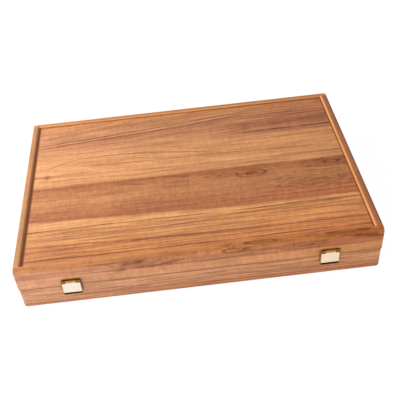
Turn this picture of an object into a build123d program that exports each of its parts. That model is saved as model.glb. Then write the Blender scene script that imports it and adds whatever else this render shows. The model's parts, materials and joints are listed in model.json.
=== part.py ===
"""A folding wooden backgammon board, closed: two hinged trays, inlaid inside, with two snap latches."""

import os

from build123d import *

# Case: two equal trays, one turned over on the other
case_width = 480.0
case_depth = 314.0
half_height = 37.5
seam_gap = 0.4
seam_bevel = 0.5
rail_thickness = 10.0
long_edge_radius = 6.5
lower_end_radius = 4.0
upper_end_bevel = 0.8
tongue_depth = 4.0
tongue_thickness = 3.0
tongue_shoulder = 5.0

# Outer panel in its rabbet, the bead that keeps it, and the playing field
rabbet_width = 3.2
panel_recess = 3.0
panel_thickness = 4.0
bead_drop = 0.4
bead_chamfer = 0.5
field_thickness = 3.0
inlay_depth = 1.0
points_per_side = 6
point_length = 182.0
point_spacing_gap = 3.0
point_tip_width = 1.2
point_end_margin = 2.5

# Checker racks along the front rails
rack_width = 40.0
divider_thickness = 6.0
divider_drop = 1.5
partition_thickness = 6.0
partition_height = 19.0
rack_edge_radius = 1.5

# Butt hinges on the back rails
hinge_inset = 92.0
hinge_offset = 0.3
leaf_length = 50.0
leaf_width = 8.9
leaf_thickness = 1.2
barrel_radius = 2.5
knuckle_count = 3
knuckle_gap = 0.4
barrel_clearance = 0.4
hinge_pin_radius = 1.2
hinge_pin_overhang = 0.5
running_clearance = 0.05
screw_pitch = 28.0
screws_per_leaf = 2
screw_radius = 1.1
screw_head_radius = 2.1
screw_head_height = 0.9
screw_length = 12.0
screw_head_sides = 16
screw_slot_width = 0.5
screw_slot_depth = 0.45
shank_sides = 6
fastener_clearance = 0.03

# Snap latches on the front rails
latch_inset = 70.0
latch_width = 24.0
latch_proud = 5.2
latch_sheet = 0.8
latch_barrel_radius = 1.8
latch_pin_radius = 0.8
latch_pin_height = 11.2
latch_outer_knuckle = 4.8
latch_clearance = 0.35
lever_bottom = 8.8
cheek_depth = 2.9
lever_corner_radius = 0.7
lever_panel_inset = 1.5
lever_panel_depth = 0.25
plate_width = 20.0
plate_gap = 0.8
keeper_width = 18.6
keeper_height = 6.6
ridge_radius = 0.9
ridge_width = 10.5
ridge_drop = 3.4
spring_width = 9.0
spring_sheet = 0.4
spring_root_drop = 3.0
spring_leg_height = 5.0
spring_nose_drop = 5.4
spring_nose_gap = 0.35
spring_tail_depth = 1.1
spring_tail_height = 1.6
spring_bend_radius = 0.7
nail_radius = 0.6
nail_head_radius = 1.1
nail_head_height = 0.5
nail_head_sides = 12
nail_length = 8.0
nail_pitch = 14.4
plate_nail_height = 4.1
keeper_nail_drop = 4.1

# Derived places: the origin is under the middle of the closed board, latches and hinges included
hinge_reach = hinge_offset + barrel_radius
case_y = (latch_proud - hinge_reach) / 2
front_y = case_y - case_depth / 2
back_y = case_y + case_depth / 2
hinge_y = back_y + hinge_offset
seam_z = half_height
tray_height = half_height - seam_gap / 2
inside_width = case_width - 2 * rail_thickness
inside_depth = case_depth - 2 * rail_thickness
inside_front = front_y + rail_thickness
inside_back = back_y - rail_thickness
panel_top = panel_recess + panel_thickness
field_top = panel_top + field_thickness
divider_front = inside_front + rack_width
divider_top = tray_height - divider_drop
field_front = divider_front + divider_thickness
point_pitch = (inside_back - field_front) / points_per_side
latch_pin_standoff = latch_proud - latch_barrel_radius
lever_top = latch_pin_height - latch_barrel_radius - latch_clearance
hinge_places = [Pos(side * (case_width / 2 - hinge_inset), hinge_y, seam_z) for side in (-1, 1)]
latch_places = [Pos(side * (case_width / 2 - latch_inset), front_y, seam_z) for side in (-1, 1)]


def block(x, y, z):
    """A box between two corners, each size given as a (low, high) pair."""
    size = [high - low for low, high in (x, y, z)]
    corner = [low for low, high in (x, y, z)]
    return Pos(*corner) * Box(*size, align=(Align.MIN, Align.MIN, Align.MIN))


def rod(radius, x):
    """A round bar along X, between two stations."""
    bar = Cylinder(radius, x[1] - x[0], align=(Align.CENTER, Align.CENTER, Align.MIN))
    return Pos(x[0], 0, 0) * Rot(0, 90, 0) * bar


def turned_over(shape):
    """The same piece in the upper tray: the lower one mirrored in the seam."""
    return mirror(shape, about=Plane.XY.offset(seam_z))


def rabbet(z):
    """The room behind the rim, between two heights: the bead's at the table side, the panel's behind it."""
    half_width = inside_width / 2 + rabbet_width
    return block(
        (-half_width, half_width), (inside_front - rabbet_width, inside_back + rabbet_width), z
    )


def outer_panel():
    """The veneered panel that the table or the hand touches, seated in the rabbet of the rails."""
    return rabbet((panel_recess, panel_top))


def rounded(edges):
    """The lower tray's outer edges at both ends, which lie on the table."""
    return fillet(edges, lower_end_radius)


def crisp(edges):
    """The upper tray's outer edges at both ends, with a slight bevel."""
    return chamfer(edges, upper_end_bevel)


def end_rail(side, eased):
    """A short rail between the long ones, with a tongue at each end."""
    outer, inner = case_width / 2, inside_width / 2
    rail = block((inner, outer), (inside_front, inside_back), (0, tray_height))
    bottom = rail.edges().filter_by(Axis.Y).group_by(Axis.Z)[0].sort_by(Axis.X)
    rail = eased(bottom[-1])
    seam_edge = rail.edges().filter_by(Axis.Y).group_by(Axis.Z)[-1].sort_by(Axis.X)
    rail = chamfer(seam_edge[-1], seam_bevel)
    middle = (inner + outer) / 2
    rail += block(
        (middle - tongue_thickness / 2, middle + tongue_thickness / 2),
        (inside_front - tongue_depth, inside_back + tongue_depth),
        (field_top, tray_height - tongue_shoulder),
    )
    rail -= rabbet((0, panel_top))
    return rail if side > 0 else mirror(rail, about=Plane.YZ)


def long_rail(side, eased):
    """A front or back rail, rounded over at the table edge and eased at both ends."""
    section = Rectangle(rail_thickness, tray_height, align=(Align.MIN, Align.MIN))
    outer_foot = section.vertices().group_by(Axis.X)[0].sort_by(Axis.Y)[0]
    section = fillet(outer_foot, long_edge_radius)
    rail = extrude(Plane.YZ * section, case_width / 2, both=True)
    ends = []
    for end_face in (rail.faces().sort_by(Axis.X)[0], rail.faces().sort_by(Axis.X)[-1]):
        ends += end_face.edges().sort_by(Axis.Y)[:-1].sort_by(Axis.Z)[:-1]
    rail = eased(ends)
    seam_edges = rail.faces().sort_by(Axis.Z)[-1].edges().sort_by(Axis.Y)[:-1]
    rail = chamfer(seam_edges, seam_bevel)
    rail = Pos(0, front_y, 0) * rail
    if side > 0:
        rail = mirror(rail, about=Plane.XZ.offset(-case_y))
    return rail - rabbet((0, panel_top)) - end_rail(-1, eased) - end_rail(1, eased)


def bead_strip(direction, side):
    """One mitred strip of the light bead that frames the recessed panel."""
    along_x = direction == "x"
    inner_length = (inside_width if along_x else inside_depth) / 2
    inner_span = (inside_depth if along_x else inside_width) / 2
    plan = Polygon(
        (-inner_length - rabbet_width, -inner_span - rabbet_width),
        (inner_length + rabbet_width, -inner_span - rabbet_width),
        (inner_length, -inner_span),
        (-inner_length, -inner_span),
        align=None,
    )
    strip = extrude(plan, panel_recess - bead_drop)
    inner = strip.faces().sort_by(Axis.Z)[0].edges().filter_by(Axis.X).sort_by(Axis.Y)[-1]
    strip = chamfer(inner, bead_chamfer)
    turn = {("x", -1): 0, ("x", 1): 180, ("y", -1): -90, ("y", 1): 90}[(direction, side)]
    return Pos(0, case_y, bead_drop) * Rot(0, 0, turn) * strip


def point_prism(side, number, depth):
    """One inlaid point: a slim triangle from an end rail towards the middle of the field."""
    half_base = (point_pitch - point_spacing_gap) / 2
    outline = Polygon(
        (0, -half_base),
        (point_length, -point_tip_width / 2),
        (point_length, point_tip_width / 2),
        (0, half_base),
        align=None,
    )
    y = field_front + (number + 0.5) * point_pitch
    foot = side * (inside_width / 2 - point_end_margin)
    place = Pos(foot, y, field_top - depth) * Rot(0, 0, 90 + 90 * side)
    return place * extrude(outline, depth)


def points(shade):
    """The points of one shade on both sides of a field, darker and lighter ones alternating."""
    chosen = []
    for side in (-1, 1):
        for number in range(points_per_side):
            if (number + (side > 0)) % 2 == shade:
                chosen.append(point_prism(side, number, inlay_depth))
    return Compound(children=chosen)


def field_board():
    """The playing field, with a pocket for each inlaid point."""
    board = block(
        (-inside_width / 2, inside_width / 2), (inside_front, inside_back), (panel_top, field_top)
    )
    for shade in (0, 1):
        for point in points(shade).solids():
            board -= point
    return board


def rack_divider():
    """The strip that parts the playing field from the checker racks."""
    strip = block(
        (-inside_width / 2, inside_width / 2),
        (divider_front, divider_front + divider_thickness),
        (field_top, divider_top),
    )
    return fillet(strip.faces().sort_by(Axis.Z)[-1].edges().filter_by(Axis.X), rack_edge_radius)


def rack_partition():
    """The short wall that makes two racks of one."""
    half = partition_thickness / 2
    wall = block((-half, half), (inside_front, divider_front), (field_top, field_top + partition_height))
    return fillet(wall.faces().sort_by(Axis.Z)[-1].edges().filter_by(Axis.Y), rack_edge_radius)


def knuckle_span(number):
    """The stations of one hinge knuckle along the pin."""
    pitch = leaf_length / knuckle_count
    start = number * pitch - leaf_length / 2
    return start + knuckle_gap / 2, start + pitch - knuckle_gap / 2


def shank(radius, length):
    """The hidden part of a screw or nail, six-sided, from the origin down."""
    return extrude(RegularPolygon(radius, shank_sides), -length)


def wood_screw(clearance=0.0):
    """A countersunk screw with its flat head at the origin; with a clearance, the hole that it fills."""
    rim = RegularPolygon(screw_head_radius + clearance, screw_head_sides)
    neck = Pos(0, 0, -screw_head_height) * RegularPolygon(screw_radius + clearance, screw_head_sides)
    head = loft([neck.face(), rim.face()], ruled=True)
    screw = head + shank(screw_radius + clearance, screw_length + clearance)
    if clearance == 0:
        screw -= block(
            (-screw_head_radius, screw_head_radius),
            (-screw_slot_width / 2, screw_slot_width / 2),
            (-screw_slot_depth, 0),
        )
    return screw


def screw_places():
    """Where the screws go through a lower leaf, seen from the hinge pin."""
    y = -(leaf_width + barrel_radius + barrel_clearance) / 2
    middle = (screws_per_leaf - 1) / 2
    return [Pos((i - middle) * screw_pitch, y, -seam_gap / 2) for i in range(screws_per_leaf)]


def hinge_leaf(first_knuckle):
    """A leaf flush in the rail under the seam, with every second knuckle rolled round the pin."""
    half = leaf_length / 2
    thick = (-seam_gap / 2 - leaf_thickness, -seam_gap / 2)
    leaf = block((-half, half), (-leaf_width, -barrel_radius - barrel_clearance), thick)
    for number in range(first_knuckle, knuckle_count, 2):
        span = knuckle_span(number)
        leaf += rod(barrel_radius, span)
        leaf += block(span, (-barrel_radius - barrel_clearance, 0), thick)
    leaf -= rod(hinge_pin_radius + running_clearance, (-half, half))
    for place in screw_places():
        leaf -= place * wood_screw(fastener_clearance)
    return leaf


def hinge_pin():
    """The pin, a little longer than the barrel."""
    half = leaf_length / 2 + hinge_pin_overhang
    return rod(hinge_pin_radius, (-half, half))


def hinge_recess():
    """What a back rail loses to a hinge: the bed of its leaf, room for the barrel and the screw holes."""
    half = leaf_length / 2
    bed = block((-half, half), (-leaf_width, 0), (-seam_gap / 2 - leaf_thickness, 0))
    room = barrel_radius + barrel_clearance
    ends = half + hinge_pin_overhang + barrel_clearance
    bed += block((-ends, ends), (-room, 0), (-room, 0))
    for place in screw_places():
        bed += place * wood_screw(fastener_clearance)
    return bed


def nail(clearance=0.0):
    """An escutcheon pin driven along +Y; with a clearance, only the hole for its shank."""
    pin = shank(nail_radius + clearance, nail_length + clearance)
    if clearance == 0:
        pin += extrude(RegularPolygon(nail_head_radius, nail_head_sides), nail_head_height)
    return Pos(0, -latch_sheet, 0) * Rot(90, 0, 0) * pin


def nail_places(z):
    """The pair of nails that holds a latch plate or a keeper."""
    return [Pos(side * nail_pitch / 2, 0, z) for side in (-1, 1)]


def latch_rod(radius, x):
    """A round bar on the latch pin's axis."""
    return Pos(0, -latch_pin_standoff, latch_pin_height) * rod(radius, x)


def latch_plate():
    """The fixed half on the upper rail: a flat plate, two shoulders of which turn out and roll round the pin."""
    half, sheet = latch_width / 2, (-latch_sheet, 0)
    turn_out = latch_pin_height - latch_barrel_radius
    plate = block((-plate_width / 2, plate_width / 2), sheet, (plate_gap, lever_top))
    for low, high in ((-half, latch_outer_knuckle - half), (half - latch_outer_knuckle, half)):
        plate += block((low, high), sheet, (lever_top, turn_out + latch_sheet))
        plate += block((low, high), (-latch_pin_standoff, 0), (turn_out, turn_out + latch_sheet))
        plate += latch_rod(latch_barrel_radius, (low, high))
    plate -= latch_rod(latch_pin_radius + running_clearance, (-half, half))
    for place in nail_places(plate_nail_height):
        plate -= place * nail(fastener_clearance)
    return plate


def latch_pin():
    """The wire that the lever swings on."""
    return latch_rod(latch_pin_radius, (-latch_width / 2, latch_width / 2))


def latch_lever():
    """The swinging cover: a face with a pressed panel, two cheeks, a turned-in lip and a rolled top."""
    half = latch_width / 2
    face = -latch_proud
    cover = block((-half, half), (face, face + cheek_depth), (-lever_bottom, lever_top))
    front = cover.faces().sort_by(Axis.Y)[0].edges()
    cover = fillet(front.filter_by(Axis.Z) + front.sort_by(Axis.Z)[:1], lever_corner_radius)
    inner = half - latch_sheet
    cover -= block((-inner, inner), (face + latch_sheet, 0), (latch_sheet - lever_bottom, lever_top))
    inset = half - lever_panel_inset
    cover -= block(
        (-inset, inset),
        (face, face + lever_panel_depth),
        (lever_panel_inset - lever_bottom, lever_top - lever_panel_inset),
    )
    roll = half - latch_outer_knuckle - latch_clearance
    cover += block((-roll, roll), (face, face + latch_sheet), (lever_top, latch_pin_height))
    cover += latch_rod(latch_barrel_radius, (-roll, roll))
    return cover - latch_rod(latch_pin_radius + running_clearance, (-roll, roll))


def latch_keeper():
    """The plate on the lower rail, with the pressed ridge that the spring snaps under."""
    half = keeper_width / 2
    keeper = block((-half, half), (-latch_sheet, 0), (-plate_gap - keeper_height, -plate_gap))
    keeper += Pos(0, -latch_sheet, -ridge_drop) * rod(ridge_radius, (-ridge_width / 2, ridge_width / 2))
    keeper -= block((-half, half), (0, ridge_radius), (-ridge_drop - ridge_radius, -plate_gap))
    for place in nail_places(-keeper_nail_drop):
        keeper -= place * nail(fastener_clearance)
    return keeper


def latch_spring():
    """The bent leaf spring behind the cover, its nose resting under the keeper's ridge."""
    back = latch_sheet + spring_sheet / 2 - latch_proud
    nose = -latch_sheet - spring_nose_gap - spring_sheet / 2
    path = FilletPolyline(
        (back, lever_top - spring_root_drop),
        (back, spring_leg_height - spring_nose_drop),
        (nose, -spring_nose_drop),
        (nose - spring_tail_depth, -spring_nose_drop - spring_tail_height),
        radius=spring_bend_radius,
    )
    strip = Plane.YZ * trace(path, spring_sheet)
    return extrude(strip, spring_width / 2, both=True)


def save(name, shape):
    """Write one piece, or one group of like pieces, as its own file."""
    shape.label = name
    export_step(shape, f"parts/{name}.step")


def save_tray(prefix, placed, eased, back_cut, front_cut):
    """Write every wooden piece of one tray."""
    back_rail = long_rail(1, eased)
    for place in hinge_places:
        back_rail -= place * back_cut
    front_rail = long_rail(-1, eased)
    for place in latch_places:
        for cut in front_cut:
            front_rail -= place * cut
    save(f"{prefix}_back_rail", placed(back_rail))
    save(f"{prefix}_front_rail", placed(front_rail))
    for name, side in (("left", -1), ("right", 1)):
        save(f"{prefix}_{name}_rail", placed(end_rail(side, eased)))
        save(f"{prefix}_{name}_bead", placed(bead_strip("y", side)))
    for name, side in (("front", -1), ("back", 1)):
        save(f"{prefix}_{name}_bead", placed(bead_strip("x", side)))
    save(f"{prefix}_outer_panel", placed(outer_panel()))
    save(f"{prefix}_playing_field", placed(field_board()))
    save(f"{prefix}_rack_divider", placed(rack_divider()))
    save(f"{prefix}_rack_partition", placed(rack_partition()))
    for name, shade in (("dark", 0), ("light", 1)):
        save(f"{prefix}_{name}_points", Compound(children=[placed(p) for p in points(shade).solids()]))


def main():
    os.makedirs("parts", exist_ok=True)
    keeper_holes = [place * nail(fastener_clearance) for place in nail_places(-keeper_nail_drop)]
    plate_holes = [place * nail(fastener_clearance) for place in nail_places(-plate_nail_height)]
    save_tray("lower", lambda shape: shape, rounded, hinge_recess(), keeper_holes)
    save_tray("upper", turned_over, crisp, hinge_recess(), plate_holes)

    screws = []
    for name, place in zip(("left", "right"), hinge_places):
        save(f"{name}_hinge_lower_leaf", place * hinge_leaf(0))
        save(f"{name}_hinge_upper_leaf", turned_over(place * hinge_leaf(1)))
        save(f"{name}_hinge_pin", place * hinge_pin())
        screws += [place * hole * wood_screw() for hole in screw_places()]
    save("lower_hinge_screws", Compound(children=screws))
    save("upper_hinge_screws", Compound(children=[turned_over(screw) for screw in screws]))

    plate_nails, keeper_nails = [], []
    for name, place in zip(("left", "right"), latch_places):
        save(f"{name}_latch_plate", place * latch_plate())
        save(f"{name}_latch_pin", place * latch_pin())
        save(f"{name}_latch_lever", place * latch_lever())
        save(f"{name}_latch_spring", place * latch_spring())
        save(f"{name}_latch_keeper", place * latch_keeper())
        plate_nails += [place * hole * nail() for hole in nail_places(plate_nail_height)]
        keeper_nails += [place * hole * nail() for hole in nail_places(-keeper_nail_drop)]
    save("latch_plate_nails", Compound(children=plate_nails))
    save("latch_keeper_nails", Compound(children=keeper_nails))


main()
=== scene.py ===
"""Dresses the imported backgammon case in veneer, inlay and brass, and sets it in a white studio."""
import json
from math import radians

import bpy
from bpy.props import FloatProperty, FloatVectorProperty, PointerProperty
from mathutils import Euler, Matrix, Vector

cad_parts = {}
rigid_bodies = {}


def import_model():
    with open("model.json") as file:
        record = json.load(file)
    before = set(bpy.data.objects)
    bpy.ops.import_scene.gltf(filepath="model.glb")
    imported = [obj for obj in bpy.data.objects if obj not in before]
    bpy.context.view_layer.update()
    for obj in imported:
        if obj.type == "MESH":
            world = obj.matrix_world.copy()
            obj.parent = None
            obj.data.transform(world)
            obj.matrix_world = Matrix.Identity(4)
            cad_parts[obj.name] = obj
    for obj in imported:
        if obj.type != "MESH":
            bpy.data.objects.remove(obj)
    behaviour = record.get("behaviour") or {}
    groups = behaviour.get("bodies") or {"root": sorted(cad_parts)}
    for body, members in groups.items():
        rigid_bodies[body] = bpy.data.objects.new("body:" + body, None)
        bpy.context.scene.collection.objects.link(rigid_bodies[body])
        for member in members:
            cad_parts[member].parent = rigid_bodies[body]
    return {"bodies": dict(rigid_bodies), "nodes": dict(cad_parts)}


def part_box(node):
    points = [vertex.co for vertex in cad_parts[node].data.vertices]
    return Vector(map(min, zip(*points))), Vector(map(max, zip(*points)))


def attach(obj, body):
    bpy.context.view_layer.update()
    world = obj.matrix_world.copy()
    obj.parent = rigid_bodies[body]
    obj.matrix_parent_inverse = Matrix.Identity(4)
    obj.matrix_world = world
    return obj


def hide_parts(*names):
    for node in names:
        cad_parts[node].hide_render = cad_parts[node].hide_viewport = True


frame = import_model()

bl_info = {
    "name": "Backgammon Case Look",
    "version": (1, 0, 0),
    "blender": (4, 5, 0),
    "location": "View3D > Sidebar > Game Case",
    "description": "Veneers, inlays and brass for a folding backgammon case, with its studio",
    "category": "Material",
}

NODES = frame["nodes"]
CASE_HIGH = Vector([max(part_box(name)[1][i] for name in NODES) for i in range(3)])
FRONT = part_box("upper_front_rail")[0].y
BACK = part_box("upper_back_rail")[1].y
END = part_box("upper_right_rail")[1].x
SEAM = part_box("upper_front_rail")[0].z
TRAYS = ("lower", "upper")
SIDES = ("left", "right")

# Places on the case, in metres
RIM_WIDTH = 0.010
LATCH_X = 0.170
BEAD_TOP_OUT = (0.0362, 0.0368)  # from the seam: where a bead's slope turns into its top

# Added pieces, in metres; the profile is the bevel's, where 0.5 is round and less is hollow
BEAD_PROFILE = 0.34
LIP_THICKNESS = 0.0028
LIP_OVERLAP = 0.0002
LIP_ROUND = 0.0007
SAME_PLACE = 1e-5
SMOOTH_ANGLE = radians(30)

# Studio, in metres and degrees
FLOOR_SIZE = 12
WINDOW_SIZE = 0.5
WINDOW_PLACE = Vector((-0.8, 0.3, 0.62))
FILL_SIZE = 0.6
FILL_PLACE = Vector((-0.45, -1.25, 0.28))
LAMP_TARGET = Vector((0, 0, 0.04))
CAMERA_PLACE = (-0.018891, -0.720356, 0.708153)
CAMERA_TURN = (49.86276, 4.27297, -4.96854)
CAMERA_SHIFT = (0.05288, -0.125)
FLOOR_GLOW = 1.05
FLOOR_GLOW_SHARE = 0.92

# Bands of colour: (distance across the grain, chart colour)
PANEL_BANDS = [
    (-0.150, (222, 146, 92)), (-0.130, (226, 152, 96)), (-0.118, (232, 162, 106)),
    (-0.096, (233, 165, 107)), (-0.090, (238, 174, 116)), (-0.081, (232, 166, 110)),
    (-0.077, (186, 118, 78)), (-0.060, (194, 125, 84)), (-0.035, (206, 143, 95)),
    (-0.012, (190, 124, 80)), (-0.003, (178, 112, 70)), (0.001, (222, 158, 106)),
    (0.020, (230, 166, 114)), (0.055, (226, 162, 110)), (0.074, (213, 152, 106)),
    (0.095, (203, 141, 98)), (0.118, (208, 147, 105)), (0.150, (212, 146, 95)),
]
FRONT_BANDS = [
    (0.0370, (206, 151, 112)), (0.0480, (210, 153, 114)), (0.0545, (208, 150, 112)),
    (0.0565, (196, 138, 104)), (0.0620, (192, 133, 100)), (0.0690, (200, 138, 98)),
    (0.0730, (206, 138, 84)), (0.0790, (204, 136, 84)), (0.0850, (216, 150, 98)),
]
LOWER_BANDS = [
    (0.0000, (202, 138, 100)), (0.0100, (212, 150, 111)), (0.0180, (218, 159, 121)),
    (0.0280, (222, 166, 128)), (0.0375, (218, 160, 119)),
]
BACK_BANDS = [
    (0.0, (186, 122, 82)), (0.03, (204, 142, 98)), (0.06, (196, 130, 88)), (0.085, (206, 140, 92)),
]
END_BANDS = [
    (0.0, (186, 122, 82)), (0.03, (204, 142, 98)), (0.06, (196, 130, 88)), (0.0745, (206, 140, 92)),
    (0.0755, (198, 146, 94)), (0.0775, (198, 140, 98)), (0.0790, (190, 132, 90)),
    (0.0818, (196, 142, 94)), (0.0850, (196, 142, 94)),
]

# Grain strokes: (across, slope, bow, start, end, width, strength)
PANEL_PALE = [
    (0.1165, 0.115, 0.10, -0.24, 0.10, 0.0013, 0.38),
    (0.1280, 0.060, 0.00, -0.02, 0.16, 0.0016, 0.35),
    (0.0505, -0.175, -0.70, -0.20, 0.05, 0.0020, 0.35),
]
PANEL_STROKES = [
    (0.1130, 0.110, 0.10, -0.24, 0.12, 0.0012, 0.90),
    (0.1200, 0.115, 0.10, -0.24, 0.14, 0.0012, 0.75),
    (0.1330, 0.050, 0.00, -0.14, 0.08, 0.0035, 0.30),
    (0.0740, 0.160, -0.20, 0.055, 0.25, 0.0014, 0.75),
    (0.0650, 0.320, -0.75, 0.060, 0.25, 0.0018, 0.55),
    (0.0640, 0.440, -1.20, 0.050, 0.25, 0.0016, 0.35),
    (0.0775, 0.010, 0.00, 0.060, 0.30, 0.0021, 1.00),
    (0.0900, 0.030, 0.00, 0.050, 0.34, 0.0080, 0.42),
    (0.0790, -0.040, 0.06, 0.080, 0.26, 0.0012, 0.50),
    (0.0481, -0.175, -0.70, -0.18, 0.08, 0.0010, 0.60),
    (0.1082, 0.310, 0.00, -0.225, -0.15, 0.0010, 0.55),
    (0.0290, 0.016, 0.00, -0.205, -0.12, 0.0009, 0.60),
    (0.0380, -0.060, 0.10, -0.08, 0.20, 0.0010, 0.45),
    (-0.0290, -0.230, -0.30, -0.115, -0.055, 0.0013, 0.65),
    (-0.0085, -0.120, 0.00, -0.045, 0.010, 0.0013, 0.70),
    (-0.0190, -0.060, 0.00, -0.045, 0.010, 0.0012, 0.55),
    (-0.0160, -0.010, 0.00, 0.150, 0.26, 0.0016, 0.60),
    (-0.0975, 0.048, 0.00, 0.00, 0.26, 0.0011, 0.60),
    (-0.1225, -0.030, 0.00, -0.24, 0.02, 0.0011, 0.75),
]
FRONT_STROKES = [
    (0.0705, 0.005, 0.00, -0.155, -0.068, 0.0014, 0.70),
    (0.0809, 0.170, 0.00, -0.110, -0.066, 0.0018, 1.00),
    (0.0660, 0.100, 0.00, -0.114, -0.092, 0.0034, 0.80),
    (0.0667, 0.167, 0.00, -0.064, -0.016, 0.0016, 0.90),
    (0.0580, 0.010, 0.00, -0.108, -0.020, 0.0015, 0.80),
    (0.0640, 0.000, 0.00, 0.02, 0.12, 0.0016, 0.45),
    (0.0660, 0.010, 0.00, 0.09, 0.20, 0.0016, 0.50),
    (0.0950, -0.125, 0.00, 0.185, 0.255, 0.0020, 1.00),
    (0.0558, 0.000, 0.00, -0.16, 0.25, 0.0009, 0.55),
]
LOWER_STROKES = [
    (0.0130, -0.020, 0.00, -0.20, 0.24, 0.0008, 0.60),
    (0.0210, -0.010, 0.00, -0.24, 0.24, 0.0007, 0.40),
    (0.0290, -0.010, 0.00, -0.24, 0.24, 0.0007, 0.40),
]

# Ruled lines: (across, half width, how dark), and the stretch that they are ruled on
PANEL_RULED_STRETCH = (-0.146, 0.146)
PANEL_RULED = [
    (-0.1400, 0.0016, 0.60), (-0.1315, 0.0014, 0.65), (-0.1245, 0.0014, 0.75),
    (-0.1130, 0.0014, 0.40), (-0.1020, 0.0014, 0.45), (-0.0945, 0.0014, 0.70),
    (-0.0680, 0.0030, 0.40), (-0.0560, 0.0026, 0.35), (-0.0270, 0.0018, 0.40),
    (-0.0025, 0.0018, 0.50),
]
# On the end rails: painted shade along the outer top edge of the right end, which faces away from
# the window lamp
END_EDGE_SHADE_STRETCH = (0.0, 0.085)
END_EDGE_SHADE = [(0.0760, 0.0024, 0.90)]

# Knots: (along, across, length, breadth, rings, strength)
PANEL_KNOTS = [
    (-0.2085, 0.0225, 0.0055, 0.0048, 1.3, 0.85),
    (0.0880, -0.0160, 0.0260, 0.0090, 1.8, 1.00),
    (0.2050, -0.0105, 0.0360, 0.0085, 1.5, 1.00),
    (0.0350, -0.0150, 0.0260, 0.0070, 1.4, 0.50),
    (0.1750, -0.0480, 0.0800, 0.0180, 2.2, 0.50),
]
FRONT_KNOTS = [
    (-0.085, 0.0670, 0.030, 0.0055, 1.4, 0.62),
    (0.050, 0.0675, 0.034, 0.0080, 1.2, 0.75),
    (0.135, 0.0620, 0.034, 0.0060, 1.6, 0.70),
    (-0.020, 0.0720, 0.030, 0.0050, 1.3, 0.55),
    (0.215, 0.0700, 0.030, 0.0060, 1.4, 0.62),
    (0.080, 0.0785, 0.045, 0.0050, 1.3, 0.90),
    (0.195, 0.0795, 0.050, 0.0060, 1.4, 0.75),
]


def tone(red, green, blue):
    """A colour as a paint chart gives it, 0 to 255, in the linear values that Blender mixes."""
    def linear(value):
        value /= 255
        return value / 12.92 if value <= 0.04045 else ((value + 0.055) / 1.055) ** 2.4
    return (linear(red), linear(green), linear(blue), 1.0)


def colour(name, description, chart):
    return FloatVectorProperty(
        name=name, description=description, subtype="COLOR", size=4, min=0, max=1,
        default=tone(*chart),
    )


def distance(name, description, default, low, high):
    return FloatProperty(
        name=name, description=description, default=default, min=low, max=high,
        subtype="DISTANCE", unit="LENGTH",
    )


def power(name, description, default):
    return FloatProperty(
        name=name, description=description, default=default, min=0, max=500,
        subtype="POWER", unit="POWER",
    )


class VeneerLook(bpy.types.PropertyGroup):
    """What a user would change on the woods."""
    line_colour: colour("Growth line", "Dark growth lines in the veneer", (120, 66, 40))
    bead: colour("Bead", "Slope of the strip between the rim and the panel", (240, 166, 92))
    bead_top: colour("Bead top", "Top of the strip between the rim and the panel", (190, 130, 94))
    field: colour("Field", "Ground of the playing fields", (164, 112, 76))
    dark_point: colour("Dark point", "Inlaid points of the darker wood", (74, 44, 34))
    light_point: colour("Light point", "Inlaid points of the lighter wood", (226, 190, 140))
    bead_slope: distance(
        "Bead slope", "Size of the slope along the bead's inner edge", 0.0025, 0.0002, 0.00255
    )
    line_spacing: distance(
        "Line spacing", "Mean distance between growth lines", 0.0075, 0.001, 0.05
    )


class BrassLook(bpy.types.PropertyGroup):
    """What a user would change on the fittings."""
    brass: colour("Brass", "Hinges, screws and nails", (214, 170, 92))
    knuckle: colour("Latch brass", "Tarnished latch plates, pins and keepers", (158, 96, 34))
    # Painted reflection: the golden colour where the latch cover curls round its pin stands in for
    # the darker surroundings it mirrors
    roll: colour("Latch roll", "Worn brass where the cover rolls round its pin", (176, 132, 68))
    cover: colour("Latch cover", "Pale plated face of the latches", (238, 226, 208))
    steel: colour("Spring", "Leaf springs of the latches", (150, 152, 156))
    # The finger lip is near-black: painted shade and reflection under the latch cover
    lip_drop: distance(
        "Lip drop", "How far the finger lip reaches below the latch cover", 0.0034, 0.001, 0.006
    )


class StudioLook(bpy.types.PropertyGroup):
    """Lamps, room and lens of the studio."""
    key_power: power("Window", "Power of the large soft lamp on the left", 11.8)
    fill_power: power("Front fill", "Power of the low lamp in front of the case", 8.0)
    room_light: FloatProperty(
        name="Room", description="Level of the even light from all round",
        default=0.45, min=0, max=2, subtype="FACTOR",
    )
    lens: FloatProperty(
        name="Lens", description="Focal length for a sensor 36 mm wide",
        default=56.9372, min=10, max=300, subtype="DISTANCE_CAMERA", unit="CAMERA",
    )


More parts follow.
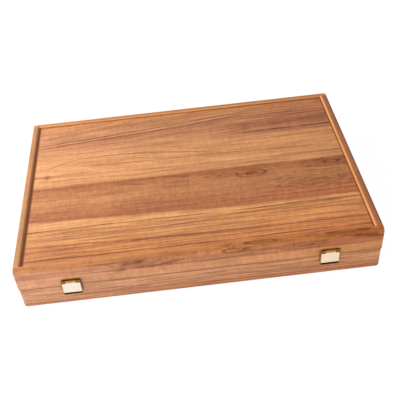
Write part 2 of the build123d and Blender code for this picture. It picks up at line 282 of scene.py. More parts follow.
class Sketch:
    """Short calls for the nodes of one tree. A value may be a number or another node's output."""

    def __init__(self, tree):
        self.tree = tree

    def feed(self, socket, value):
        if isinstance(value, bpy.types.NodeSocket):
            self.tree.links.new(value, socket)
        elif value is not None:
            socket.default_value = value

    def node(self, kind, *values, **settings):
        made = self.tree.nodes.new(kind)
        for name, value in settings.items():
            setattr(made, name, value)
        for socket, value in zip(made.inputs, values):
            self.feed(socket, value)
        return made

    def math(self, operation, *values, clamp=False):
        made = self.node("ShaderNodeMath", *values, operation=operation, use_clamp=clamp)
        return made.outputs[0]

    def chain(self, operation, first, *others):
        """One operation over any number of values."""
        for other in others:
            first = self.math(operation, first, other)
        return first

    def plus(self, *values):
        return self.chain("ADD", *values)

    def minus(self, first, second):
        return self.math("SUBTRACT", first, second)

    def times(self, *values):
        return self.chain("MULTIPLY", *values)

    def highest(self, *values):
        return self.chain("MAXIMUM", *values)

    def absolute(self, value):
        return self.math("ABSOLUTE", value)

    def split(self, vector):
        return self.node("ShaderNodeSeparateXYZ", vector).outputs

    def join(self, x, y, z):
        return self.node("ShaderNodeCombineXYZ", x, y, z).outputs[0]

    def stretch(self, vector, x, y, z):
        made = self.node("ShaderNodeVectorMath", vector, (x, y, z), operation="MULTIPLY")
        return made.outputs[0]

    def noise(self, vector, detail=2.0, roughness=0.5):
        made = self.node("ShaderNodeTexNoise", vector)
        made.inputs["Scale"].default_value = 1.0
        made.inputs["Detail"].default_value = detail
        made.inputs["Roughness"].default_value = roughness
        return made.outputs["Fac"]

    def grain_noise(self, place, cells, detail=2.0, roughness=0.5):
        """Noise at (along, across, depth), with so many cells to the metre along and across."""
        along, across, depth = place
        spot = self.join(self.times(along, cells[0]), self.times(across, cells[1]), depth)
        return self.noise(spot, detail, roughness)

    def push(self, noise, width):
        """Noise as a push to either side, over a width."""
        return self.times(self.minus(noise, 0.5), width)

    def remap(self, value, low, high, new_low=0.0, new_high=1.0, kind="LINEAR"):
        made = self.node(
            "ShaderNodeMapRange", value, low, high, new_low, new_high, interpolation_type=kind
        )
        return made.outputs[0]

    def ease(self, value, low, high, new_low=0.0, new_high=1.0):
        return self.remap(value, low, high, new_low, new_high, kind="SMOOTHSTEP")

    def between(self, value, start, full, full_end, end):
        """One between full and full_end, falling to nothing at start and at end."""
        return self.times(self.remap(value, start, full), self.remap(value, end, full_end))

    def blend(self, factor, first, second, kind="MIX"):
        made = self.node("ShaderNodeMix", data_type="RGBA", blend_type=kind)
        open_sockets = [socket for socket in made.inputs if socket.enabled]
        for socket, value in zip(open_sockets, (factor, first, second)):
            self.feed(socket, value)
        return next(socket for socket in made.outputs if socket.enabled)

    def tint(self, factor, ground, red, green, blue):
        """The ground multiplied by a colour, by so much of it as the factor says."""
        return self.blend(factor, ground, (red, green, blue, 1.0), kind="MULTIPLY")

    def shine(self, ground, level):
        """The ground brighter or darker by a level that varies."""
        return self.blend(1.0, ground, self.join(level, level, level), kind="MULTIPLY")

    def mottle(self, ground, noise, darkest, lightest):
        """The ground in soft clouds of noise."""
        return self.shine(ground, self.remap(noise, 0.3, 0.7, darkest, lightest))

    def ramp(self, value, low, high):
        """A colour ramp over a distance, with one stop left."""
        made = self.node("ShaderNodeValToRGB", self.remap(value, low, high))
        made.color_ramp.elements.remove(made.color_ramp.elements[1])
        return made

    def bands(self, value, stops):
        """Colours laid side by side across the grain, from the first stop's place to the last's."""
        low, high = stops[0][0], stops[-1][0]
        made = self.ramp(value, low, high)
        elements = made.color_ramp.elements
        for number, (place, chart) in enumerate(stops):
            at = (place - low) / (high - low)
            element = elements.new(at) if number else elements[0]
            element.position = at
            element.color = tone(*chart)
        return made.outputs[0]

    def rules(self, value, low, high, lines):
        """Thin lines ruled across a distance, each with its place, half its width, how dark."""
        made = self.ramp(value, low, high)
        elements = made.color_ramp.elements
        elements[0].color = (0, 0, 0, 1)
        for place, half, dark in lines:
            for at, level in ((place - half, 0.0), (place, dark), (place + half, 0.0)):
                element = elements.new((at - low) / (high - low))
                element.color = (level, level, level, 1)
        return made.outputs[0]


SURFACE_OUTPUTS = [
    ("Color", "NodeSocketColor"), ("Roughness", "NodeSocketFloat"), ("Height", "NodeSocketFloat")
]
MASK_OUTPUT = [("Mask", "NodeSocketFloat")]


def node_group(name, inputs, outputs):
    """An empty shader node group; gives the tree, a sketch, and its input and output sockets."""
    tree = bpy.data.node_groups.new(name, "ShaderNodeTree")
    for label, kind, default in inputs:
        socket = tree.interface.new_socket(label, in_out="INPUT", socket_type=kind)
        if default is not None:
            socket.default_value = default
    for label, kind in outputs:
        tree.interface.new_socket(label, in_out="OUTPUT", socket_type=kind)
    sketch = Sketch(tree)
    given, result = sketch.node("NodeGroupInput").outputs, sketch.node("NodeGroupOutput").inputs
    return tree, sketch, given, result


def place_group(sketch, name, **values):
    """Places a group, made when it is first asked for; gives its outputs."""
    tree = bpy.data.node_groups.get(name) or GROUPS[name]()
    made = sketch.node("ShaderNodeGroup", node_tree=tree)
    for label, value in values.items():
        sketch.feed(made.inputs[label.replace("_", " ")], value)
    return made.outputs


def veneer_figure():
    """Growth lines, fine streaks, pores and ripple over a ground colour. Vector runs along,
    across and into the grain."""
    tree, s, given, result = node_group(
        "Veneer Figure",
        [
            ("Vector", "NodeSocketVector", None),
            ("Ground", "NodeSocketColor", tone(214, 152, 104)),
            ("Line Colour", "NodeSocketColor", tone(120, 66, 40)),
            ("Line Spacing", "NodeSocketFloat", 0.0075),
            ("Line Strength", "NodeSocketFloat", 0.5),
            ("Fine Strength", "NodeSocketFloat", 0.3),
            ("Ripple", "NodeSocketFloat", 0.2),
            ("Wander", "NodeSocketFloat", 0.006),
        ],
        SURFACE_OUTPUTS,
    )
    along, across, depth = place = s.split(given["Vector"])
    drift = s.push(s.grain_noise(place, (4.0, 22.0)), given["Wander"])
    tremble = s.push(s.grain_noise(place, (30.0, 70.0)), 0.0022)
    line_across = s.plus(across, drift, tremble)
    line_place = (along, line_across, depth)
    uneven = s.grain_noise(line_place, (0.7, 60.0))
    phase = s.plus(s.math("DIVIDE", line_across, given["Line Spacing"]), s.times(uneven, 3.0))
    line = ring_lines(s, along, phase, 0.55, 0.88, 0.98)
    thin = ring_lines(s, along, s.times(phase, 2.7), 0.3, 0.8, 1.0)

    streak = s.remap(s.grain_noise(line_place, (15.0, 430.0), 3.0, 0.6), 0.38, 0.66)
    pore = s.remap(s.grain_noise(line_place, (110.0, 2600.0), 1.0), 0.6, 0.72)
    broad = s.grain_noise(place, (150.0, 75.0))
    narrow = s.grain_noise(place, (420.0, 170.0), 1.0)
    shimmer = s.minus(s.plus(broad, s.times(narrow, 0.8)), 0.9)

    fine = s.times(s.plus(streak, thin), given["Fine Strength"])
    dark = s.plus(s.times(line, given["Line Strength"]), fine)
    dark = s.math("ADD", dark, s.times(pore, 0.12), clamp=True)
    lined = s.blend(dark, given["Ground"], given["Line Colour"])
    ripple = s.times(shimmer, given["Ripple"])
    s.feed(result["Color"], s.shine(lined, s.plus(1.0, ripple)))
    s.feed(result["Roughness"], s.plus(0.4, s.times(dark, 0.12), s.times(pore, 0.1)))
    s.feed(result["Height"], s.minus(1.0, s.plus(pore, s.times(streak, 0.35))))
    return tree


def ring_lines(s, along, phase, start, dark, end):
    """Growth lines, one to each unit of phase: a slow rise to dark, a sharp end, each line of its
    own weight."""
    ring = s.math("FRACT", phase)
    number = s.math("FLOOR", phase)
    weight = s.node("ShaderNodeTexWhiteNoise", None, number, noise_dimensions="1D")
    rise = s.ease(ring, start, dark)
    close = s.ease(ring, end, dark)
    fade = s.remap(s.grain_noise((along, number, 0.0), (10.0, 3.7)), 0.35, 0.6, 0.3, 1.0)
    return s.times(rise, close, weight.outputs["Value"], fade)


def grain_stroke():
    """One dark line of the figure: an arc along the grain, soft at both ends. Gives how dark."""
    tree, s, given, result = node_group(
        "Grain Stroke",
        [
            ("Vector", "NodeSocketVector", None),
            ("Across", "NodeSocketFloat", 0.0),
            ("Slope", "NodeSocketFloat", 0.0),
            ("Bow", "NodeSocketFloat", 0.0),
            ("Start", "NodeSocketFloat", -0.2),
            ("End", "NodeSocketFloat", 0.2),
            ("Width", "NodeSocketFloat", 0.0015),
            ("Fade", "NodeSocketFloat", 0.05),
        ],
        MASK_OUTPUT,
    )
    along, across, _ = s.split(given["Vector"])
    shake = s.noise(s.join(s.times(along, 26.0), 0.0, given["Across"]), 3.0)
    rise, bow = s.times(along, given["Slope"]), s.times(along, along, given["Bow"])
    line = s.plus(given["Across"], rise, bow, s.push(shake, 0.004))
    away = s.math("DIVIDE", s.minus(across, line), s.times(given["Width"], 1.3))
    body = s.math("EXPONENT", s.times(away, away, -1.0))
    begin = s.ease(along, given["Start"], s.plus(given["Start"], given["Fade"]))
    finish = s.ease(along, given["End"], s.minus(given["End"], given["Fade"]))
    uneven = s.noise(s.join(s.times(along, 60.0), 0.0, given["Across"]), 2.0)
    uneven = s.remap(uneven, 0.25, 0.6, 0.45, 1.0)
    s.feed(result["Mask"], s.times(body, uneven, begin, finish))
    return tree


def knot_swirl():
    """A knot: uneven rings that close round a place and fade outwards. Gives how dark."""
    tree, s, given, result = node_group(
        "Knot Swirl",
        [
            ("Vector", "NodeSocketVector", None),
            ("Along", "NodeSocketFloat", 0.0),
            ("Across", "NodeSocketFloat", 0.0),
            ("Length", "NodeSocketFloat", 0.02),
            ("Breadth", "NodeSocketFloat", 0.006),
            ("Rings", "NodeSocketFloat", 2.0),
        ],
        MASK_OUTPUT,
    )
    along, across, _ = s.split(given["Vector"])
    push = s.push(s.grain_noise((along, across, given["Along"]), (45.0, 110.0), 3.0), 1.3)
    dx = s.math("DIVIDE", s.minus(along, given["Along"]), given["Length"])
    dy = s.math("DIVIDE", s.minus(across, given["Across"]), given["Breadth"])
    away = s.math("SQRT", s.plus(s.times(dx, dx), s.times(dy, dy)))
    turn = s.times(s.plus(away, push), given["Rings"])
    ring = s.ease(s.math("PINGPONG", turn, 0.5), 0.18, 0.46)
    fade = s.ease(away, 1.6, 0.7)
    patch = s.grain_noise((along, across, 3.0), (70.0, 170.0))
    patch = s.remap(patch, 0.35, 0.6, 0.35, 1.0)
    core = s.ease(away, 1.2, 0.0, 0.0, 0.35)
    s.feed(result["Mask"], s.math("ADD", s.times(ring, fade, patch), core, clamp=True))
    return tree


def worn_metal():
    """Tarnish patches and hairline scratches for brass, steel and plated sheet."""
    tree, s, given, result = node_group(
        "Handled Metal",
        [
            ("Vector", "NodeSocketVector", None),
            ("Metal", "NodeSocketColor", tone(214, 170, 92)),
            ("Tarnish", "NodeSocketFloat", 0.3),
            ("Polish", "NodeSocketFloat", 0.25),
        ],
        SURFACE_OUTPUTS,
    )
    patches = s.noise(s.stretch(given["Vector"], 160, 160, 160), 4.0, 0.6)
    dull = s.times(s.remap(patches, 0.4, 0.75), given["Tarnish"])
    hair = s.noise(s.stretch(given["Vector"], 5200, 300, 260), 2.0)
    s.feed(result["Color"], s.blend(dull, given["Metal"], tone(120, 84, 40)))
    s.feed(result["Roughness"], s.plus(given["Polish"], s.times(dull, 0.5), s.times(hair, 0.1)))
    s.feed(result["Height"], hair)
    return tree


GROUPS = {
    "Veneer Figure": veneer_figure, "Grain Stroke": grain_stroke, "Knot Swirl": knot_swirl,
    "Handled Metal": worn_metal,
}


def new_material(name):
    """A material with one Principled surface; gives it, its sketch and the surface node."""
    material = bpy.data.materials.new(name)
    material.use_nodes = True
    tree = material.node_tree
    return material, Sketch(tree), tree.nodes["Principled BSDF"]


def object_place(s):
    return s.node("ShaderNodeTexCoord").outputs["Object"]


def strokes(s, vector, lines):
    """The darkest of several grain strokes."""
    masks = []
    for across, slope, bow, start, end, width, strength in lines:
        mask = place_group(
            s, "Grain Stroke", Vector=vector, Across=across, Slope=slope, Bow=bow,
            Start=start, End=end, Width=width, Fade=min(0.05, (end - start) / 3),
        )["Mask"]
        masks.append(s.times(mask, strength))
    return s.highest(*masks)


def knots(s, vector, places):
    """The darkest of several knots."""
    masks = []
    for along, across, length, breadth, rings, strength in places:
        mask = place_group(
            s, "Knot Swirl", Vector=vector, Along=along, Across=across,
            Length=length, Breadth=breadth, Rings=rings,
        )["Mask"]
        masks.append(s.times(mask, strength))
    return s.highest(*masks)


def painted_corner_shade(s, ground, inward, width, strength=0.8):
    """Painted shade in a corner or crease: darkens the ground within a width of an edge."""
    shade_amount = s.ease(inward, width, 0.3 * width, 0.0, strength)
    return s.blend(shade_amount, ground, tone(86, 48, 30))


def feed_surface(s, surface, figure, strength, depth):
    """Feeds a surface with a group's colour and roughness, and with its height as bump."""
    s.feed(surface.inputs["Base Color"], figure["Color"])
    s.feed(surface.inputs["Roughness"], figure["Roughness"])
    bump = s.node("ShaderNodeBump")
    bump.inputs["Strength"].default_value = strength
    bump.inputs["Distance"].default_value = depth
    s.feed(bump.inputs["Height"], figure["Height"])
    s.feed(surface.inputs["Normal"], bump.outputs["Normal"])


def finish_veneer(s, surface, vector, ground, look, **settings):
    """Lays the veneer figure over a ground colour and feeds the surface with it."""
    values = {
        "Line_Colour": tuple(look.line_colour), "Line_Spacing": look.line_spacing, **settings
    }
    figure = place_group(s, "Veneer Figure", Vector=vector, Ground=ground, **values)
    feed_surface(s, surface, figure, strength=0.25, depth=0.00012)
    surface.inputs["Specular IOR Level"].default_value = 0.15


def panel_veneer(look):
    """Crown-cut walnut, its dark heart a third of the way up, as on the outside panels."""
    material, s, surface = new_material("Outer panel veneer")
    x, y, z = place = s.split(object_place(s))
    depth = s.times(z, 3.0)
    sway = s.push(s.grain_noise(place, (5.0, 9.0), 3.0), 0.010)
    low_side = s.remap(y, -0.04, -0.07)
    heart_lean = s.times(s.remap(x, -0.23, 0.02, 1.0, 0.0), 0.009, low_side)
    across = s.minus(s.plus(y, sway), heart_lean)
    ground = s.bands(across, PANEL_BANDS)
    ground = s.tint(s.remap(x, -0.20, 0.24), ground, 0.97, 0.91, 0.82)
    front_right = s.times(s.remap(x, 0.0, 0.20), low_side)
    ground = s.tint(front_right, ground, 1.16, 1.08, 1.06)
    back_right = s.times(s.remap(x, 0.0, 0.18), s.remap(y, 0.06, 0.10))
    ground = s.tint(back_right, ground, 0.93, 0.85, 0.86)

    # Towards the right, lines behind the middle run forward a little and those at the back run back
    lean = s.plus(s.remap(y, 0.0, 0.03, 0.0, -0.045), s.remap(y, 0.055, 0.11, 0.0, 0.16))
    leaning = s.minus(y, s.times(lean, s.math("MINIMUM", x, 0.08)))
    cloud = s.grain_noise((x, leaning, z), (9.0, 42.0), 3.0)
    ground = s.mottle(ground, cloud, 0.88, 1.08)

    grain = s.join(x, y, depth)
    ground = s.blend(strokes(s, grain, PANEL_PALE), ground, tone(244, 184, 132))
    shake = s.push(s.grain_noise((x, y, 5.0), (12.0, 30.0), 3.0), 0.007)
    ruled = s.rules(s.plus(leaning, shake), *PANEL_RULED_STRETCH, PANEL_RULED)
    broken = s.grain_noise((x, leaning, 2.0), (7.0, 60.0), 3.0)
    ruled = s.times(ruled, s.remap(broken, 0.38, 0.58, 0.15, 1.0))
    marks = s.highest(strokes(s, grain, PANEL_STROKES), knots(s, grain, PANEL_KNOTS), ruled)
    ground = s.blend(marks, ground, tone(116, 58, 34))

    # Painted shade at the foot of the rims, with a wider painted shadow cast by the left rim
    ground = painted_corner_shade(s, ground, s.minus(END - RIM_WIDTH, s.absolute(x)), 0.0030)
    ground = painted_corner_shade(s, ground, s.plus(END - RIM_WIDTH, x), 0.0042, 0.6)
    ground = painted_corner_shade(s, ground, s.minus(BACK - RIM_WIDTH, y), 0.0030)

    heart = s.between(across, -0.084, -0.074, -0.006, 0.002)
    front = s.remap(across, -0.07, -0.095)
    back = s.remap(across, 0.07, 0.1)
    finish_veneer(
        s, surface, s.join(x, leaning, depth), ground, look,
        Line_Strength=s.plus(s.minus(0.50, s.times(heart, 0.1)), s.times(front, 0.2)),
        Fine_Strength=s.plus(0.36, s.times(s.plus(front, back), 0.14)),
        Ripple=s.plus(0.34, s.times(heart, 0.16)),
    )
    return material


def rail_veneer(look, name, along_x, bands, sheet, lines=(), eyes=(), warmth=None, **settings):
    """Veneer that wraps a rail: the grain runs along it and the figure carries on over the rounded
    edge. Sheet is a number of its own for each sheet of veneer; warmth tints the front rails."""
    material, s, surface = new_material(name)
    x, y, z = s.split(object_place(s))
    if along_x:
        along, inward = x, s.math("MINIMUM", s.minus(y, FRONT), s.minus(BACK, y))
    else:
        along, inward = y, s.minus(END, s.absolute(x))
    across = s.plus(z, s.times(s.math("SIGN", s.minus(z, SEAM)), inward))
    place = (along, across, sheet)
    grain = s.join(*place)
    sway = s.push(s.grain_noise(place, (6.0, 20.0), 3.0), 0.009)
    ground = s.bands(s.plus(across, sway), bands)
    if not along_x:
        right = s.remap(x, -0.1, 0.1)
        ground = s.tint(right, ground, 0.90, 0.68, 0.58)
        # Painted shade along the outer top edge of the right end
        edge = s.rules(across, *END_EDGE_SHADE_STRETCH, END_EDGE_SHADE)
        ground = s.blend(s.times(edge, right), ground, tone(92, 58, 42))
    ground = s.mottle(ground, s.grain_noise(place, (16.0, 70.0), 3.0), 0.84, 1.12)
    for draw, marks in ((strokes, lines), (knots, eyes)):
        if marks:
            ground = s.blend(draw(s, grain, marks), ground, tone(116, 64, 40))
    if warmth:
        # Warm tint, with painted shade beside each latch and a painted reflection above it
        ground = front_tone_and_painted_latch_light(s, ground, x, z, across, warmth)
    # Painted shade in the crease along the seam between the trays
    ground = painted_corner_shade(s, ground, s.absolute(s.minus(z, SEAM)), 0.0010, 0.5)
    finish_veneer(s, surface, grain, ground, look, **settings)
    return material


def front_tone_and_painted_latch_light(s, ground, x, z, across, warmth):
    """Warms the front towards the right and darkens its upper right edge. Beside each latch the wood
    has painted shade, and above it a painted reflection of the brass."""
    ground = s.tint(s.remap(x, -0.20, 0.24), ground, *warmth)
    from_latch = s.absolute(s.minus(s.absolute(x), LATCH_X))
    beside = s.between(from_latch, 0.0095, 0.0118, 0.0125, 0.0155)
    # Painted shade beside each latch, where the latch shades the rail
    latch_side_shade = s.times(beside, s.between(z, 0.0260, 0.0280, 0.0470, 0.0500), 0.6)
    ground = s.blend(latch_side_shade, ground, tone(104, 58, 24))
    # Painted reflection of the brass on the wood above each latch
    over = s.remap(from_latch, 0.0130, 0.0115, 0.0, 0.35)
    brass_reflection = s.times(s.between(z, 0.0485, 0.0500, 0.0530, 0.0550), over)
    ground = s.blend(brass_reflection, ground, tone(240, 170, 96))
    top_right = s.times(s.remap(x, 0.04, 0.20), s.remap(across, 0.054, 0.058))
    return s.tint(top_right, ground, 0.91, 0.81, 0.74)


def plain_wood(look, name, ground, sheet, along_x=True, rim=None, **settings):
    """Solid wood of one ground colour with the figure of the veneer, for beads, inlays and
    linings. Rim is the colour of a bead's top."""
    material, s, surface = new_material(name)
    x, y, z = s.split(object_place(s))
    along, across = (x, y) if along_x else (y, x)
    cloud = s.remap(s.grain_noise((along, across, sheet), (7.0, 45.0), 3.0), 0.3, 0.7)
    shade = s.blend(cloud, ground, tuple(0.8 * level for level in ground[:3]) + (1.0,))
    if rim is not None:
        out = s.absolute(s.minus(z, SEAM))
        shade = s.blend(s.remap(out, *BEAD_TOP_OUT), shade, rim)
        if not along_x:
            # Painted shade: the end beads darken at the left end, where their slope faces away from
            # the window lamp
            dark = s.times(s.remap(x, -0.1, -0.2), s.remap(out, 0.0369, 0.0365, 0.3, 1.0))
            shade = s.tint(dark, shade, 0.52, 0.44, 0.42)
    grain = s.join(along, s.plus(across, s.times(z, 0.8)), sheet)
    finish_veneer(s, surface, grain, shade, look, **settings)
    return material


def feed_metal(s, surface, place, tint, tarnish, polish):
    """Feeds a surface with handled metal of one tint."""
    handled = place_group(
        s, "Handled Metal", Vector=place, Metal=tint, Tarnish=tarnish, Polish=polish
    )
    feed_surface(s, surface, handled, strength=0.08, depth=0.00003)


def metal(name, tint, tarnish, polish, left=1.0):
    """Worn brass or steel; left dims its colour towards the left end of the case, as painted shade.
    """
    material, s, surface = new_material(name)
    place = object_place(s)
    if left < 1.0:
        tint = s.tint(s.remap(s.split(place)[0], 0.1, -0.1), tint, left, left, left)
    feed_metal(s, surface, place, tint, tarnish, polish)
    surface.inputs["Metallic"].default_value = 1.0
    return material


def cover_metal(look):
    """Pale plated face; golden round its pin, a painted reflection; near-black along its lip,
    painted shade and reflection.
    """
    material, s, surface = new_material("Latch cover")
    place = object_place(s)
    x, _, z = s.split(place)
    # Painted reflection: golden where the cover curls round its pin
    roll = s.remap(z, 0.0474, 0.0484)
    # Painted shade and reflection: near-black along the lip under the cover
    lip = s.remap(z, 0.0294, 0.0288)
    plated = s.tint(s.remap(x, -0.1, 0.1), tuple(look.cover), 1.05, 0.93, 0.80)
    # Dimmed towards the left latch: painted shade against the front lamp's reflection there
    rolled = s.tint(s.remap(x, 0.1, -0.1), tuple(look.roll), 0.74, 0.74, 0.74)
    tint = s.blend(lip, s.blend(roll, plated, rolled), tone(16, 10, 12))
    feed_metal(s, surface, place, tint, tarnish=0.06, polish=0.38)
    s.feed(surface.inputs["Metallic"], s.remap(lip, 0.0, 1.0, 0.75, 0.1))
    surface.inputs["Specular IOR Level"].default_value = 0.02
    return material


def dress(material, *names):
    """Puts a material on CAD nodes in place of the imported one."""
    for name in names:
        materials = NODES[name].data.materials
        materials.clear()
        materials.append(material)


def box_piece(name, low, high):
    """A cube shaped in edit mode to a box between two corners, ready to have edges picked."""
    bpy.ops.object.select_all(action="DESELECT")
    bpy.ops.mesh.primitive_cube_add(size=1, location=(0, 0, 0))
    piece = bpy.context.active_object
    piece.name = name
    bpy.ops.object.mode_set(mode="EDIT")
    bpy.ops.mesh.select_mode(type="EDGE")
    bpy.ops.mesh.select_all(action="SELECT")
    bpy.ops.transform.resize(value=high - low, center_override=(0, 0, 0))
    bpy.ops.transform.translate(value=(low + high) / 2)
    bpy.ops.mesh.select_all(action="DESELECT")
    bpy.ops.object.mode_set(mode="OBJECT")
    return piece


def pick_edges(piece, **places):
    """Selects the edges that lie at the given places (x, y or z) and enters edit mode."""
    points = piece.data.vertices
    for edge in piece.data.edges:
        edge.select = all(
            abs(getattr(points[number].co, axis) - place) < SAME_PLACE
            for number in edge.vertices for axis, place in places.items()
        )
    bpy.ops.object.mode_set(mode="EDIT")


def finish_piece(piece, material):
    """Leaves edit mode, smooths the rounded edges and gives the piece its material."""
    bpy.ops.object.mode_set(mode="OBJECT")
    bpy.ops.object.shade_smooth_by_angle(angle=SMOOTH_ANGLE)
    piece.data.materials.append(material)


class CASE_OT_rails(bpy.types.Operator):
    """Veneer the eight rails of the two trays"""
    bl_idname = "game_case.rails"
    bl_label = "Veneer Rails"

    def execute(self, context):
        look = context.scene.veneer_look
        front = rail_veneer(
            look, "Upper front veneer", True, FRONT_BANDS, 0.37, FRONT_STROKES, FRONT_KNOTS,
            warmth=(1.0, 0.85, 0.58), Line_Strength=0.30, Fine_Strength=0.26, Ripple=0.45,
        )
        lower = rail_veneer(
            look, "Lower rail veneer", True, LOWER_BANDS, 1.9, LOWER_STROKES,
            warmth=(1.0, 0.90, 0.72), Line_Strength=0.60, Fine_Strength=0.48, Ripple=0.30,
            Line_Spacing=0.0036,
        )
        back = rail_veneer(
            look, "Back rail veneer", True, BACK_BANDS, 4.2,
            Line_Strength=0.40, Fine_Strength=0.22, Ripple=0.12,
        )
        ends = rail_veneer(
            look, "End rail veneer", False, END_BANDS, 7.7,
            Line_Strength=0.60, Fine_Strength=0.34, Ripple=0.30, Line_Spacing=0.0040,
        )
        dress(front, "upper_front_rail")
        dress(lower, "lower_front_rail")
        dress(back, "upper_back_rail", "lower_back_rail")
        dress(ends, *(f"{tray}_{side}_rail" for tray in TRAYS for side in SIDES))
        return {"FINISHED"}


class CASE_OT_beads(bpy.types.Operator):
    """Mould and finish the beads that frame the outer panels"""
    bl_idname = "game_case.beads"
    bl_label = "Mould Beads"

    def execute(self, context):
        look = context.scene.veneer_look
        settings = {
            "Line_Strength": 0.35, "Fine_Strength": 0.22, "Ripple": 0.08, "Line_Spacing": 0.004
        }
        slope, rim = tuple(look.bead), tuple(look.bead_top)
        long_bead = plain_wood(look, "Bead along the front", slope, 2.3, True, rim, **settings)
        end_bead = plain_wood(look, "Bead along the ends", slope, 3.1, False, rim, **settings)
        for tray in TRAYS:
            for side in ("front", "back", "left", "right"):
                finish = long_bead if side in ("front", "back") else end_bead
                self.mould(tray, side, look.bead_slope, finish)
        return {"FINISHED"}

    def mould(self, tray, side, slope, finish):
        """One mitred strip in the place of a CAD bead, sloped towards the recess."""
        node = f"{tray}_{side}_bead"
        low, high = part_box(node)
        mouth = high.z if tray == "upper" else low.z
        along, across = "xy" if side in ("front", "back") else "yx"
        inward = 1 if side in ("front", "left") else -1
        outer, inner = (getattr(low, across), getattr(high, across))[::inward]
        strip = box_piece(f"{tray}_{side}_moulding", low, high)
        pick_edges(strip, z=mouth, **{across: inner})
        bpy.ops.mesh.bevel(offset=slope, segments=5, profile=BEAD_PROFILE, clamp_overlap=False)
        for end, corner in ((-1, low), (1, high)):
            corner, away = corner.copy(), Vector()
            corner.z = mouth
            setattr(corner, across, outer)
            setattr(away, along, end)
            setattr(away, across, inward)
            bpy.ops.mesh.select_all(action="SELECT")
            bpy.ops.mesh.bisect(plane_co=corner, plane_no=away, use_fill=True, clear_outer=True)
        bpy.ops.mesh.select_all(action="SELECT")
        bpy.ops.mesh.normals_make_consistent(inside=False)
        finish_piece(strip, finish)
        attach(strip, f"{tray}_tray")
        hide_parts(node)


class CASE_OT_panels(bpy.types.Operator):
    """Veneer the two outer panels"""
    bl_idname = "game_case.panels"
    bl_label = "Veneer Panels"

    def execute(self, context):
        veneer = panel_veneer(context.scene.veneer_look)
        dress(veneer, "upper_outer_panel", "lower_outer_panel")
        return {"FINISHED"}


class CASE_OT_inside(bpy.types.Operator):
    """Finish the playing fields, their inlaid points and the checker racks"""
    bl_idname = "game_case.inside"
    bl_label = "Finish Inside"

    def execute(self, context):
        look = context.scene.veneer_look
        field = plain_wood(
            look, "Field wood", tuple(look.field), 5.5,
            Line_Strength=0.7, Fine_Strength=0.45, Ripple=0.35, Line_Colour=tone(84, 46, 28),
        )
        dark = plain_wood(
            look, "Dark inlay", tuple(look.dark_point), 8.1,
            Line_Strength=0.3, Fine_Strength=0.2, Ripple=0.1, Line_Colour=tone(34, 20, 16),
        )
        light = plain_wood(
            look, "Light inlay", tuple(look.light_point), 9.4,
            Line_Strength=0.22, Fine_Strength=0.12, Ripple=0.15,
        )
        rack = plain_wood(
            look, "Rack wood", tone(196, 134, 92), 6.6,
            Line_Strength=0.6, Fine_Strength=0.4, Ripple=0.25,
        )
        for tray in TRAYS:
            dress(field, f"{tray}_playing_field")
            dress(dark, f"{tray}_dark_points")
            dress(light, f"{tray}_light_points")
            dress(rack, f"{tray}_rack_divider", f"{tray}_rack_partition")
        return {"FINISHED"}


class CASE_OT_hinges(bpy.types.Operator):
    """Finish the butt hinges, the screws and the nails"""
    bl_idname = "game_case.hinges"
    bl_label = "Finish Hinges"

    def execute(self, context):
        brass = tuple(context.scene.brass_look.brass)
        leaf = metal("Hinge brass", brass, 0.35, 0.26)
        screw = metal("Screw brass", brass, 0.5, 0.32)
        for side in SIDES:
            dress(leaf, *(f"{side}_hinge_{part}" for part in ("lower_leaf", "upper_leaf", "pin")))
        dress(screw, *(f"{tray}_hinge_screws" for tray in TRAYS))
        dress(screw, "latch_plate_nails", "latch_keeper_nails")
        return {"FINISHED"}


class CASE_OT_latches(bpy.types.Operator):
    """Finish the snap latches and add their finger lips"""
    bl_idname = "game_case.latches"
    bl_label = "Finish Latches"

    def execute(self, context):
        look = context.scene.brass_look
        # Dimmed on the left latch: painted shade against the front lamp's reflection there
        plate = metal("Latch brass", tuple(look.knuckle), 0.45, 0.3, left=0.66)
        cover = cover_metal(look)
        steel = metal("Spring steel", tuple(look.steel), 0.1, 0.3)
        for side in SIDES:
            dress(plate, *(f"{side}_latch_{part}" for part in ("plate", "pin", "keeper")))
            dress(cover, f"{side}_latch_lever")
            dress(steel, f"{side}_latch_spring")
            self.finger_lip(side, look.lip_drop, cover)
        return {"FINISHED"}

    def finger_lip(self, side, drop, cover):
        """The lip below the cover that a finger lifts, with its lower edges rolled; near-black as
        painted shade and reflection.
        """
        low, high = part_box(f"{side}_latch_lever")
        foot = Vector((low.x, low.y, low.z - drop))
        top = Vector((high.x, low.y + LIP_THICKNESS, low.z + LIP_OVERLAP))
        lip = box_piece(f"{side}_latch_finger_lip", foot, top)
        pick_edges(lip, z=foot.z)
        bpy.ops.mesh.bevel(offset=LIP_ROUND, segments=4)
        finish_piece(lip, cover)
        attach(lip, f"{side}_lever")


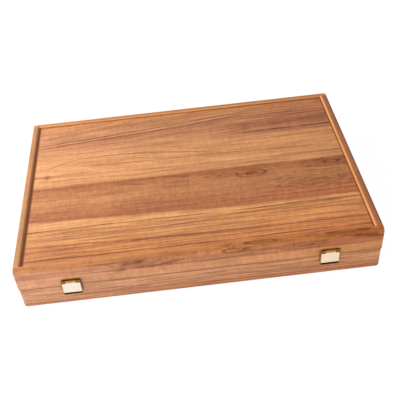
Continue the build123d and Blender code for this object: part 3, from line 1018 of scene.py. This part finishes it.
class CASE_OT_studio(bpy.types.Operator):
    """Set the floor, the lamps, the room light and the camera"""
    bl_idname = "game_case.studio"
    bl_label = "Set Studio"

    def execute(self, context):
        look = context.scene.studio_look
        bpy.ops.object.select_all(action="DESELECT")
        bpy.ops.mesh.primitive_plane_add(size=FLOOR_SIZE, location=(0, 0, 0))
        floor = context.active_object
        floor.name = "studio_floor"
        bpy.ops.object.mode_set(mode="EDIT")
        bpy.ops.mesh.subdivide(number_cuts=3)
        bpy.ops.object.mode_set(mode="OBJECT")
        floor.data.materials.append(self.floor_material())

        self.lamp("window", look.key_power, WINDOW_SIZE, WINDOW_PLACE)
        self.lamp("front fill", look.fill_power, FILL_SIZE, FILL_PLACE)
        self.room(context, look.room_light)

        camera = bpy.data.cameras.new("camera")
        camera.sensor_width = 36
        camera.lens = look.lens
        camera.shift_x, camera.shift_y = CAMERA_SHIFT
        stand = bpy.data.objects.new("camera", camera)
        context.collection.objects.link(stand)
        stand.location = CAMERA_PLACE
        stand.rotation_euler = Euler([radians(angle) for angle in CAMERA_TURN])
        context.scene.camera = stand
        context.scene.view_settings.view_transform = "Standard"
        return {"FINISHED"}

    def floor_material(self):
        """White paper, lifted to the white of the room, that keeps part of the shadow. It is clear
        from behind, and under the case it lets the light of the room through to the underside."""
        material, s, surface = new_material("White paper")
        place = object_place(s)
        fibre = s.noise(s.stretch(place, 300, 300, 300), 4.0)
        paper = s.blend(fibre, tone(246, 246, 246), tone(250, 250, 250))
        s.feed(surface.inputs["Base Color"], paper)
        surface.inputs["Roughness"].default_value = 0.8
        surface.inputs["Specular IOR Level"].default_value = 0.1
        path = s.node("ShaderNodeLightPath").outputs
        seen = s.highest(path["Is Camera Ray"], path["Is Glossy Ray"])
        glow = s.node("ShaderNodeEmission", (1, 1, 1, 1), FLOOR_GLOW)
        share = s.times(seen, FLOOR_GLOW_SHARE)
        mixed = s.node("ShaderNodeMixShader", share, surface.outputs[0], glow.outputs[0])
        x, y, _ = s.split(place)
        beneath = s.times(
            s.math("COMPARE", x, 0.0, CASE_HIGH.x), s.math("COMPARE", y, 0.0, CASE_HIGH.y)
        )
        bounced = s.highest(path["Is Diffuse Ray"], path["Is Shadow Ray"])
        behind = s.node("ShaderNodeNewGeometry").outputs["Backfacing"]
        opening = s.highest(behind, s.times(beneath, bounced))
        clear = s.node("ShaderNodeBsdfTransparent", (1, 1, 1, 1))
        whole = s.node("ShaderNodeMixShader", opening, mixed.outputs[0], clear.outputs[0])
        s.feed(s.tree.nodes["Material Output"].inputs["Surface"], whole.outputs[0])
        return material

    def lamp(self, name, strength, size, place):
        """A square soft lamp turned to the case."""
        light = bpy.data.lights.new(name, "AREA")
        light.shape = "SQUARE"
        light.size = size
        light.energy = strength
        stand = bpy.data.objects.new(name, light)
        stand.location = place
        stand.rotation_euler = (LAMP_TARGET - place).to_track_quat("-Z", "Y").to_euler()
        bpy.context.collection.objects.link(stand)

    def room(self, context, level):
        """Even light of a level from all round, and white wherever the room itself is seen."""
        world = bpy.data.worlds.new("room")
        context.scene.world = world
        world.use_nodes = True
        world.node_tree.nodes.clear()
        s = Sketch(world.node_tree)
        path = s.node("ShaderNodeLightPath").outputs
        seen = s.highest(
            path["Is Camera Ray"], path["Is Glossy Ray"], path["Is Transmission Ray"]
        )
        strength = s.remap(seen, 0.0, 1.0, level, 1.0)
        light = s.node("ShaderNodeBackground", (1, 1, 1, 1), strength)
        s.node("ShaderNodeOutputWorld", light.outputs[0])


class CASE_PT_panel(bpy.types.Panel):
    """Settings and steps of the case's look, in order"""
    bl_idname = "CASE_PT_panel"
    bl_label = "Backgammon Case"
    bl_space_type = "VIEW_3D"
    bl_region_type = "UI"
    bl_category = "Game Case"

    def draw(self, context):
        layout = self.layout
        for group in SETTINGS:
            settings = getattr(context.scene, group)
            box = layout.box()
            for name in settings.__annotations__:
                box.prop(settings, name)
        for step in STEPS:
            layout.operator(step.bl_idname)


SETTINGS = {"veneer_look": VeneerLook, "brass_look": BrassLook, "studio_look": StudioLook}
STEPS = (
    CASE_OT_rails, CASE_OT_beads, CASE_OT_panels, CASE_OT_inside, CASE_OT_hinges,
    CASE_OT_latches, CASE_OT_studio,
)


def register():
    for kind in (*SETTINGS.values(), *STEPS, CASE_PT_panel):
        bpy.utils.register_class(kind)
    for name, kind in SETTINGS.items():
        setattr(bpy.types.Scene, name, PointerProperty(type=kind))


def unregister():
    for name in SETTINGS:
        delattr(bpy.types.Scene, name)
    for kind in (CASE_PT_panel, *reversed(STEPS), *reversed(SETTINGS.values())):
        bpy.utils.unregister_class(kind)


def clear_startup():
    """Removes the cube, lamp and camera that a new Blender file starts with."""
    kept = set(NODES.values()) | set(frame["bodies"].values())
    for obj in list(bpy.data.objects):
        if obj not in kept and obj.name in ("Cube", "Light", "Camera"):
            bpy.data.objects.remove(obj)


def main():
    clear_startup()
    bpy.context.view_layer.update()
    register()
    for step in STEPS:
        group, name = step.bl_idname.split(".")
        getattr(getattr(bpy.ops, group), name)()


if __name__ == "__main__":
    main()
